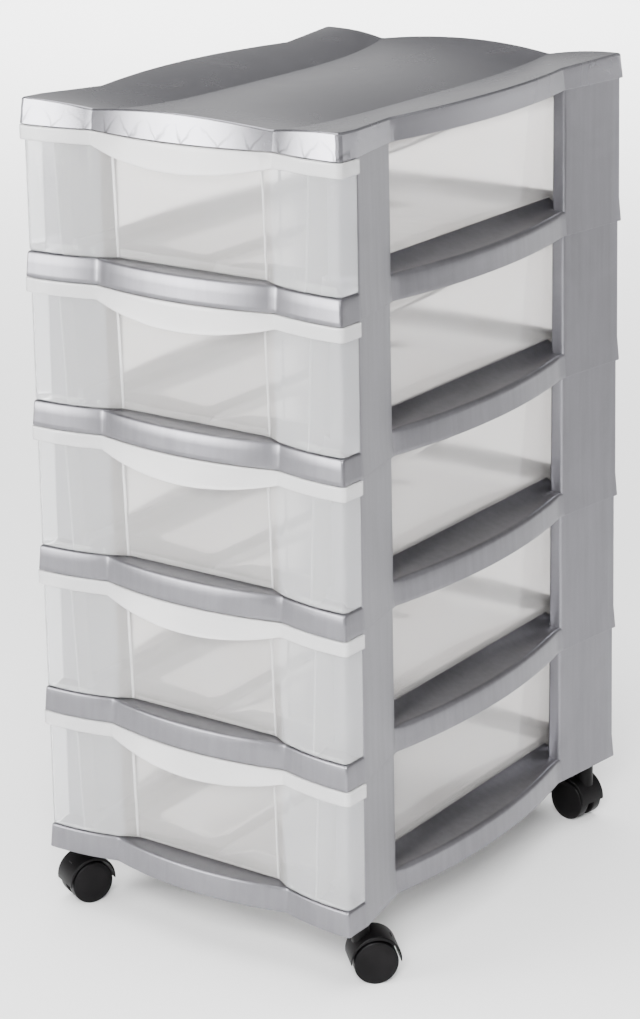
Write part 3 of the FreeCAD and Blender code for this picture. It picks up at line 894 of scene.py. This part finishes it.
def hood_grids():
    """The hood: a crescent arch with rounded rims, a core disc with a riser into the arch, and a neck.

    Each section of the arch is a rounded slab that reaches from the inner radius out to an outer circle set
    higher than the axle, so that the arch is thick at its crown and thin at its two tips.
    """
    outer = hood_inner + hood_wall
    rise = (outer ** 2 - (hood_inner + hood_tip) ** 2) / (2 * outer)
    turn = np.linspace(0, math.pi, 73)[:, None]
    reach = rise * np.sin(turn) + np.sqrt((outer - rise) ** 2 - (rise * np.cos(turn)) ** 2)
    edge = np.minimum(hood_round, hood_round_share * (reach - hood_inner))
    sweep = quarter(6)
    across = np.concatenate([
        np.broadcast_to(hood_half, (len(turn), 1)),
        hood_half - edge * (1 - np.cos(sweep)),
        -hood_half + edge * (1 - np.cos(sweep[::-1])),
        np.broadcast_to(-hood_half, (len(turn), 1)),
    ], 1)
    away = np.concatenate([
        np.broadcast_to(hood_inner, (len(turn), 1)),
        reach - edge * (1 - np.sin(sweep)),
        reach - edge * (1 - np.sin(sweep[::-1])),
        np.broadcast_to(hood_inner, (len(turn), 1)),
    ], 1)
    arch = np.stack([away * np.cos(turn), across, away * np.sin(turn)], -1) + axle_place
    half = core_width / 2
    flat = core_radius - core_edge
    rim = half - core_edge
    section = np.array([[0, -half], [flat, -half], [core_radius, -rim],
                        [core_radius, rim], [flat, half], [0, half]])
    disc = swept(section, 72) + axle_place
    post = np.array([[-1, -1], [1, -1], [1, 1], [-1, 1]]) * np.array([core_radius, half])
    level = np.array([wheel_radius, wheel_radius + riser_height])[:, None]
    riser = np.stack(np.broadcast_arrays(post[:, 0] + trail, post[:, 1], level), -1)
    collar = np.array([[0, neck_top], [neck_radius - neck_edge, neck_top],
                       [neck_radius, neck_top - neck_edge],
                       [neck_radius, wheel_radius + hood_inner - neck_sink]])
    stand = swept(collar[::-1], 64)[..., [0, 2, 1]]
    return [(arch, False, True, True), (disc, True, False, False), (riser, False, True, True),
            (stand, True, False, False)]


def under(corner, points):
    """Points of a caster that trails towards +X, turned by its rest angle and set under its corner."""
    end, side = corner.split("_")
    angle = math.radians(caster_angles[corner])
    along, aside = math.cos(angle), math.sin(angle)
    turn = np.array([[along, aside, 0], [-aside, along, 0], [0, 0, 1]])
    across = caster_across if side == "right" else -caster_across
    return (points @ turn + np.array([across, caster_depths[end] - middle_depth, 0])) * mm


black = black_plastic()
steel = turned_steel()
for corner in caster_angles:
    grids = [(under(corner, grid), *closing) for grid, *closing in hood_grids()]
    hood = moulding(f"{corner}_hood_moulding", grids, f"{corner}_swivel", black, crease=40.0)
    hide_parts(f"{corner}_caster_hood")
    for name, side in (("left", 1), ("right", -1)):
        grid = under(corner, wheel_grid(side))
        wheel = moulding(f"{corner}_{name}_wheel_moulding", [(grid, True, False, False)],
                         f"{corner}_{name}_wheel", black, crease=40.0)
        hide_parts(f"{corner}_caster_{name}_wheel")
    for name, material in (("socket", black), ("stem", steel), ("axle", steel)):
        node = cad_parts[f"{corner}_caster_{name}"]
        node.data.materials.clear()
        node.data.materials.append(material)

# Studio: a wide pale floor, a soft sky that is bright round the horizon and to the right and darker overhead,
# and six soft lamps: two in front, a narrow one for the edges, one overhead and two over the floor behind.

floor_half = 30.0
mesh = bpy.data.meshes.new("floor")
mesh.from_pydata([(-floor_half, -floor_half, 0), (floor_half, -floor_half, 0), (floor_half, floor_half, 0),
                  (-floor_half, floor_half, 0)], [], [(0, 1, 2, 3)])
floor = bpy.data.objects.new("floor", mesh)
bpy.context.scene.collection.objects.link(floor)
paper = bpy.data.materials.new("paper")
paper.use_nodes = True
paper.node_tree.nodes["Principled BSDF"].inputs["Base Color"].default_value = (0.93, 0.93, 0.93, 1)
paper.node_tree.nodes["Principled BSDF"].inputs["Roughness"].default_value = 0.9
mesh.materials.append(paper)

world = bpy.data.worlds.new("studio")
world.use_nodes = True
nodes, links = world.node_tree.nodes, world.node_tree.links
sky = nodes["Background"]
sky.inputs["Strength"].default_value = 0.95
ray = nodes.new("ShaderNodeTexCoord")
height = nodes.new("ShaderNodeSeparateXYZ")
fade = nodes.new("ShaderNodeValToRGB")
fade.color_ramp.elements[0].position = 0.1
fade.color_ramp.elements[0].color = (1, 1, 1, 1)
fade.color_ramp.elements[1].position = 0.4
fade.color_ramp.elements[1].color = (0.12, 0.12, 0.125, 1)
links.new(ray.outputs["Generated"], height.inputs["Vector"])
links.new(height.outputs["Z"], fade.inputs["Fac"])
side = nodes.new("ShaderNodeMapRange")
side.inputs["From Max"].default_value = 0.5
side.inputs["To Max"].default_value = 0.8
brighter = nodes.new("ShaderNodeMix")
brighter.data_type = "RGBA"
brighter.blend_type = "LIGHTEN"
brighter.inputs["Factor"].default_value = 1.0
links.new(height.outputs["X"], side.inputs["Value"])
links.new(fade.outputs["Color"], brighter.inputs["A"])
links.new(side.outputs["Result"], brighter.inputs["B"])
links.new(brighter.outputs["Result"], sky.inputs["Color"])
bpy.context.scene.world = world


def soft_lamp(name, place, aim, width, height, power, spread=180):
    """Rectangular lamp at a place, turned towards a point, with its light kept within a spread in degrees."""
    light = bpy.data.lights.new(name, "AREA")
    light.shape = "RECTANGLE"
    light.size = width
    light.size_y = height
    light.energy = power
    light.spread = math.radians(spread)
    lamp = bpy.data.objects.new(name, light)
    bpy.context.scene.collection.objects.link(lamp)
    lamp.location = place
    lamp.rotation_euler = (Vector(aim) - Vector(place)).to_track_quat("-Z", "Y").to_euler()


soft_lamp("front_left_lamp", (-1.3, -2.0, 1.1), (0, 0, 1.3), 1.7, 1.7, 30, 66)
soft_lamp("front_right_lamp", (1.3, -2.2, 1.6), (0.8, -1.1, 0), 1.0, 1.0, 48, 80)
soft_lamp("edge_lamp", (-1.4, -2.3, 1.7), (0, -0.2, 0.35), 1.4, 0.15, 40)
soft_lamp("overhead_lamp", (-0.6, 0.2, 4.2), (-0.6, 0.2, 0), 5.0, 5.0, 380)
soft_lamp("left_background_lamp", (-3.2, 4.6, 4.0), (-3.2, 4.6, 0), 5.0, 5.0, 420, 80)
soft_lamp("right_background_lamp", (3.6, 5.2, 3.5), (3.6, 5.2, 0), 4.0, 4.0, 220, 80)

# Camera: seen from the front and right, a little above the cover.

eye = np.array([1224.4, -1756.1, 1029.0])
yaw, pitch, roll = 0.6142, 0.2631, 0.0151
focal_rows = 2773.8
middle_row = 340.0
picture_height = 1019.0
level = np.array([math.cos(yaw), math.sin(yaw), 0])
ahead = np.array([-math.sin(yaw), math.cos(yaw), 0])
lift = np.array([0, 0, 1.0])
forward = math.cos(pitch) * ahead - math.sin(pitch) * lift
upward = math.sin(pitch) * ahead + math.cos(pitch) * lift
picture_x = math.cos(roll) * level - math.sin(roll) * upward
picture_y = math.sin(roll) * level + math.cos(roll) * upward
lens = bpy.data.cameras.new("camera")
lens.sensor_width = 36.0
lens.lens = focal_rows * lens.sensor_width / picture_height
lens.shift_y = (middle_row - picture_height / 2) / picture_height
camera = bpy.data.objects.new("camera", lens)
camera.location = eye * mm
camera.rotation_euler = Matrix(np.stack([picture_x, picture_y, -forward], 1).tolist()).to_euler()
bpy.context.scene.collection.objects.link(camera)
bpy.context.scene.camera = camera
